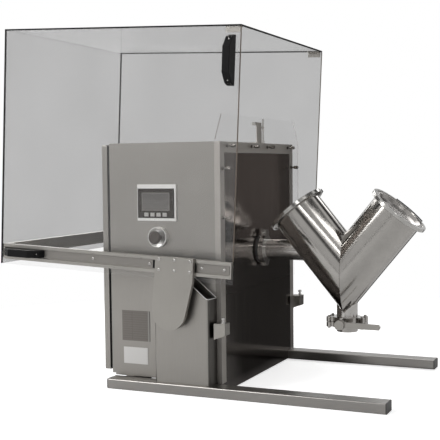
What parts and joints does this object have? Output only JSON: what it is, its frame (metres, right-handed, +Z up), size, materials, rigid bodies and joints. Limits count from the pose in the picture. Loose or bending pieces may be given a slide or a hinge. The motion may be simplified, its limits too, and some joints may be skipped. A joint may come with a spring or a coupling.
{
  "type": "bin blender",
  "caption": "Floor-standing laboratory bin blender with a V-shaped turning vessel, drive cabinet and a clear guard hood that swings over it.",
  "frame": {"origin": "on the floor, at the underside of the cross tube below the drive wall, on the mid-plane of the vessel's shaft", "axes": "+X along the drive shaft from the cabinet to the vessel, +Z up, -Y towards the operator"},
  "size_m": [1.7841, 1.123, 1.5496],
  "materials": {
    "frame_steel": "satin brushed",
    "cabinet_steel": "satin ground sheet",
    "dark_mirror": "dark polished",
    "cap_plastic": "moulded",
    "seal_rubber": "matt",
    "fastener_steel": "turned",
    "plate_white": "satin",
    "bush_bronze": "machined",
    "clear_sheet": "clear, gloss",
    "hood_steel": "satin ground",
    "handle_black": "moulded",
    "trim_chrome": "polished",
    "panel_black": "fine grain",
    "screen_glass": "gloss",
    "key_grey": "moulded",
    "stop_button": "moulded",
    "cast_grey": "painted",
    "motor_paint": "satin",
    "control_grey": "powder coat",
    "gland_plastic": "moulded",
    "sensor_black": "moulded",
    "vessel_steel": "polished",
    "ring_steel": "polished",
    "lever_black": "moulded",
    "lever_steel": "satin"
  },
  "bodies": {
    "machine": {"base_frame": "frame_steel", "tube_end_caps": "cap_plastic", "cabinet_shell": "cabinet_steel", "drive_wall_frame": "cabinet_steel", "mirror_panel": "dark_mirror", "service_cover": "cabinet_steel", "cover_gasket": "seal_rubber", "cover_screws": "fastener_steel", "front_plates": "plate_white", "pivot_pillars": "cabinet_steel", "pivot_bushes": "bush_bronze", "open_stop_buffers": "seal_rubber", "closed_stop_brackets": "cabinet_steel", "closed_stop_studs": "fastener_steel", "shield_plate": "clear_sheet", "shield_knobs": "fastener_steel", "sensor_bracket": "cabinet_steel", "safety_sensor": "sensor_black", "hmi_surround": "trim_chrome", "hmi_housing": "panel_black", "hmi_screen": "screen_glass", "estop_collar": "trim_chrome", "flange_bearing": "cast_grey", "shaft_seal": "seal_rubber", "gearbox": "cast_grey", "drive_motor": "motor_paint", "control_gear": "control_grey", "cable_gland": "gland_plastic"},
    "hood": {"hood_front_panel": "clear_sheet", "hood_rear_panel": "clear_sheet", "hood_top_panel": "clear_sheet", "hood_end_panel": "clear_sheet", "hood_corner_seals": "seal_rubber", "hood_bars": "hood_steel", "hood_bar_strips": "hood_steel", "hood_screws": "fastener_steel", "hood_gussets": "hood_steel", "hood_arms": "hood_steel", "hood_pivot_shaft": "hood_steel", "hood_stop_lugs": "hood_steel", "hood_handles": "handle_black"},
    "rotor": {"drive_shaft": "vessel_steel", "vessel_clamp": "ring_steel", "vessel_legs": "vessel_steel", "vessel_fittings": "vessel_steel", "lid_seals": "seal_rubber", "valve_body": "vessel_steel"},
    "valve": {"valve_disc": "vessel_steel", "valve_lever": "lever_steel"},
    "left_cover": {"left_lid": "ring_steel", "left_clamp_ring": "ring_steel"},
    "right_cover": {"right_lid": "ring_steel", "right_clamp_ring": "ring_steel"},
    "left_lever": {"left_ring_lever": "lever_black"},
    "right_lever": {"right_ring_lever": "lever_black"},
    "estop": {"estop_button": "stop_button"},
    "key_1": {"hmi_key_1": "key_grey"},
    "key_2": {"hmi_key_2": "key_grey"},
    "key_3": {"hmi_key_3": "key_grey"},
    "key_4": {"hmi_key_4": "key_grey"}
  },
  "joints": [
    {"name": "hood_swing", "type": "hinge", "parent": "machine", "child": "hood", "pos_m": [-0.173, 0, 0.347], "axis": [0, 1, 0], "range_deg": [0, 87.2]},
    {"name": "vessel_spin", "type": "hinge", "parent": "machine", "child": "rotor", "pos_m": [0.04, 0, 0.566], "axis": [1, 0, 0], "continuous": true},
    {"name": "valve_turn", "type": "hinge", "parent": "rotor", "child": "valve", "pos_m": [0.421, 0, 0.26], "axis": [0, 1, 0], "range_deg": [0, 90]},
    {"name": "left_lid_lift", "type": "slide", "parent": "rotor", "child": "left_cover", "axis": [-0.6361, 0, 0.7716], "range_m": [0, 0.05]},
    {"name": "right_lid_lift", "type": "slide", "parent": "rotor", "child": "right_cover", "axis": [0.6361, 0, 0.7716], "range_m": [0, 0.05]},
    {"name": "left_ring_lever_swing", "type": "hinge", "parent": "left_cover", "child": "left_lever", "pos_m": [0.19329, 0.14178, 0.74813], "axis": [-0.6361, 0, 0.7716], "range_deg": [0, 110]},
    {"name": "right_ring_lever_swing", "type": "hinge", "parent": "right_cover", "child": "right_lever", "pos_m": [0.60787, 0.13053, 0.7818], "axis": [0.6361, 0, 0.7716], "range_deg": [0, 110]},
    {"name": "estop_push", "type": "slide", "parent": "machine", "child": "estop", "axis": [0, 1, 0], "range_m": [0, 0.004], "stiffness_N_per_m": 2500},
    {"name": "key_1_push", "type": "slide", "parent": "machine", "child": "key_1", "axis": [0, 1, 0], "range_m": [0, 0.0015], "stiffness_N_per_m": 1000},
    {"name": "key_2_push", "type": "slide", "parent": "machine", "child": "key_2", "axis": [0, 1, 0], "range_m": [0, 0.0015], "stiffness_N_per_m": 1000},
    {"name": "key_3_push", "type": "slide", "parent": "machine", "child": "key_3", "axis": [0, 1, 0], "range_m": [0, 0.0015], "stiffness_N_per_m": 1000},
    {"name": "key_4_push", "type": "slide", "parent": "machine", "child": "key_4", "axis": [0, 1, 0], "range_m": [0, 0.0015], "stiffness_N_per_m": 1000}
  ]
}
